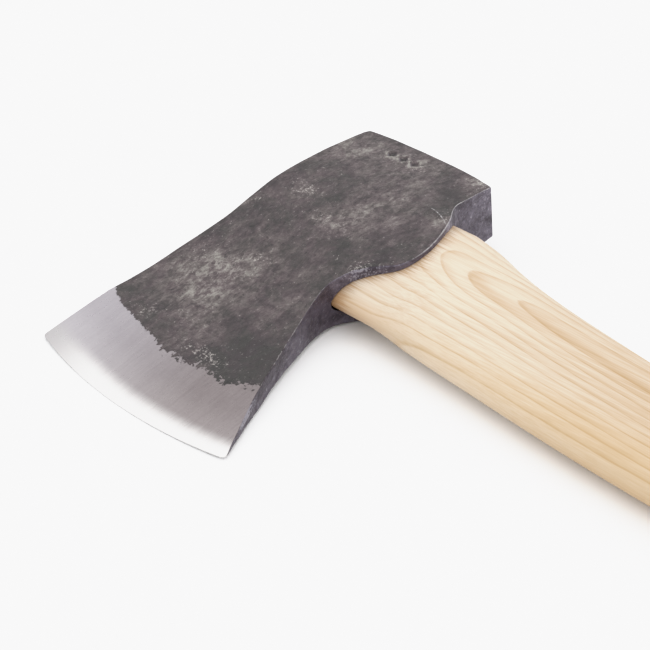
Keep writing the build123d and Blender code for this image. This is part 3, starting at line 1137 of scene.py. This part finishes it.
def ash_finish():
    """Pale ash: growth rings cut by the handle's surface, pores along the grain, oil near the head, and
    painted shade along its front.
    """
    f = Finish("ash_wood")
    own = f.attribute("own", "Vector")
    part = f.math("FRACT", f.attribute("ring"))
    pores = f.noise(f.stretch(own, (0.05, 1.6, 1.6)), 0.7, 3, 0.7, move=80)
    fibre = f.noise(f.stretch(own, (0.02, 1, 1)), 0.5, 3, 0.7, move=120)
    year = f.noise(f.stretch(own, (0.006, 0.25, 0.25)), 1.0, 2, 0.5, move=60)
    late = f.times(f.ramp(part, 0.35, 0.93), f.ramp(part, 1.0, 0.95))
    thin = f.times(f.ramp(part, 0.80, 0.93), f.ramp(part, 1.0, 0.94))
    line = f.times(thin, f.ramp(pores, 0.3, 0.7, 0.3, 1.0))
    front = f.attribute("front")
    late_year = f.times(late, f.ramp(year, 0.3, 0.7, 0.4, 1.3))
    front_line = f.times(line, front)
    # The front strip's share of the last term is painted shade; the rest darkens the wood towards the knob
    amount = f.sum(0.08, (late_year, 0.0, 0.22), (line, 0.0, 0.27), (front_line, 0.0, 0.25),
                   (f.attribute("streak"), 0.0, 0.30), (fibre, 0.5, 1.1), (year, 0.5, 0.3),
                   (f.attribute("front_shade_and_far_darkening"), 0.0, 0.16))
    wood = f.colours(amount, ASH)
    # Painted shade: the handle's front strip tinted darker and oranger
    wood = f.mix(f.times(front, 0.3), wood, ASH_FRONT_SHADE)
    end = f.ramp(f.facing(0), 0.75, 0.92)
    dots = f.noise(own, 0.35, 2, 0.6, move=160)
    ringed = f.sum(late, (f.ramp(dots, 0.45, 0.65), 0.0, -0.5))
    end_grain = f.mix(ringed, *END_GRAIN)
    wood = f.mix(end, wood, end_grain)
    from_head = f.attribute("from_head")
    oil_reach = f.sum(from_head, (pores, 0.5, -16.0), (fibre, 0.5, -9.0), (front, 0.0, -3.0))
    oil = f.times(f.ramp(oil_reach, 4.5, -2.0), f.ramp(from_head, -30, -2))
    wood = f.mix(f.times(oil, 0.65), wood, ASH_OILED)
    amber = f.times(f.ramp(front, 0.1, 0.9), f.ramp(f.sum(from_head, (fibre, 0.5, 20.0)), 34, 2))
    wood = f.mix(f.times(amber, 0.5), wood, ASH_AMBER)
    height = f.sum(0.0, (fibre, 0.0, 0.5), (late, 0.0, 0.5), (dots, 0.0, 0.1))
    f.set(Base_Color=wood, Roughness=f.ramp(oil, 0, 1, 0.60, 0.45), Specular_IOR_Level=0.3,
          Normal=f.bump(height, 0.03, 0.5))
    return f.material


def wedge_wood_finish():
    """The wooden wedge's end grain, sawn and then darkened by oil."""
    f = Finish("wedge_beech")
    own = f.attribute("own", "Vector")
    flecks = f.noise(f.stretch(own, (0.1, 1, 2.5)), 0.8, 3, 0.6)
    bands = f.noise(f.stretch(own, (0.05, 0.2, 1)), 1.2, 2, 0.5, move=30)
    light = f.sum(0.4, (flecks, 0.5, 1.4), (bands, 0.5, 0.9))
    wood = f.mix(light, *BEECH)
    f.set(Base_Color=wood, Roughness=0.62, Specular_IOR_Level=0.3, Normal=f.bump(flecks, 0.06, 0.6))
    return f.material


def wedge_steel_finish():
    """The ring wedge: mild steel, dull, with the hammer's bright bruises on its rim."""
    f = Finish("mild_steel")
    own = f.attribute("own", "Vector")
    bruises = f.noise(own, 1.6, 3, 0.6)
    fine = f.noise(own, 0.3, 2, 0.6, move=50)
    steel = f.mix(f.ramp(bruises, 0.40, 0.60), *MILD_STEEL)
    f.set(Base_Color=steel, Metallic=0.85, Roughness=f.ramp(bruises, 0.4, 0.6, 0.55, 0.36),
          Normal=f.bump(f.sum(bruises, (fine, 0.5, 0.3)), 0.15, 0.7))
    return f.material


# ---- the scene ----

HORIZON_LIGHT = 0.92
OVERHEAD_LIGHT = 1.76
FLOOR_REACH = 3.0
CAMERA_PLACE = Vector((0.19933, -0.33156, 0.30032))
CAMERA_AIM = Vector((-0.140065, 0.001514, -0.000178))
CAMERA_ROLL = math.radians(0.53)
CAMERA_LENS = 103.0
# Half a surface's brightness, and how brightly it is shown
TONES = [(0.35, 0.7), (0.45, 0.85), (0.55, 0.915), (0.65, 0.937), (0.8, 0.937)]


def add_piece(piece, node, slot, material):
    """Puts one piece in the place of its CAD node."""
    piece.data.materials.clear()
    piece.data.materials.append(material)
    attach(piece, "root")
    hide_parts(node)


pieces = [
    (make_head(), "axe_head", "forged_steel", steel_finish()),
    (make_handle(), "handle", "ash", ash_finish()),
    (make_wood_wedge(), "wood_wedge", "wedge_wood", wedge_wood_finish()),
    (make_ring_wedge(), "ring_wedge", "wedge_steel", wedge_steel_finish()),
]
for entry in pieces:
    add_piece(*entry)


def add_floor():
    """A wide pale sheet that the hatchet lies on."""
    mesh = bpy.data.meshes.new("floor")
    corners = [(x * FLOOR_REACH, y * FLOOR_REACH, 0) for x, y in ((-1, -1), (1, -1), (1, 1), (-1, 1))]
    mesh.from_pydata(corners, [], [(0, 1, 2, 3)])
    floor = into_scene("floor", mesh)
    paper = Finish("pale_paper")
    paper.set(Base_Color=PAPER, Roughness=0.9)
    mesh.materials.append(paper.material)


def add_light(name, location, aim, size, power):
    """A square soft light."""
    lamp = bpy.data.lights.new(name, "AREA")
    lamp.shape = "SQUARE"
    lamp.size = size
    lamp.energy = power
    light = into_scene(name, lamp)
    light.location = location
    light.rotation_euler = (Vector(location) - Vector(aim)).to_track_quat("Z", "Y").to_euler()


def add_world():
    """White light from all round, brighter overhead than at the horizon."""
    world = bpy.data.worlds.new("studio")
    world.use_nodes = True
    nodes = world.node_tree.nodes
    links = world.node_tree.links
    direction = nodes.new("ShaderNodeTexCoord")
    split = nodes.new("ShaderNodeSeparateXYZ")
    height = nodes.new("ShaderNodeMapRange")
    links.new(direction.outputs["Generated"], split.inputs[0])
    links.new(split.outputs[2], height.inputs[0])
    height.inputs["To Min"].default_value = HORIZON_LIGHT
    height.inputs["To Max"].default_value = OVERHEAD_LIGHT
    background = nodes["Background"]
    background.inputs["Color"].default_value = (1.0, 1.0, 1.0, 1.0)
    links.new(height.outputs[0], background.inputs["Strength"])
    bpy.context.scene.world = world


def add_camera():
    """The photo's viewpoint."""
    data = bpy.data.cameras.new("camera")
    data.lens = CAMERA_LENS
    data.sensor_width = 36.0
    data.clip_start = 0.01
    camera = into_scene("camera", data)
    turn = (CAMERA_PLACE - CAMERA_AIM).to_track_quat("Z", "Y").to_matrix().to_4x4()
    camera.matrix_world = Matrix.Translation(CAMERA_PLACE) @ turn @ Matrix.Rotation(CAMERA_ROLL, 4, "Z")
    bpy.context.scene.camera = camera


def set_tones():
    """Lets bright surfaces run gently into white, as in a photograph with a bright background."""
    view = bpy.context.scene.view_settings
    view.view_transform = "Standard"
    view.use_curve_mapping = True
    tone = view.curve_mapping
    tone.white_level = (2, 2, 2)
    tone.extend = "HORIZONTAL"
    curve = tone.curves[3]
    curve.points[1].location = (1.0, TONES[-1][1])
    for point in TONES:
        curve.points.new(*point)
    tone.update()


add_floor()
add_world()
add_light("window", (-0.6, -0.5, 1.2), (-0.05, 0, 0), 1.2, 1.6)
add_camera()
set_tones()
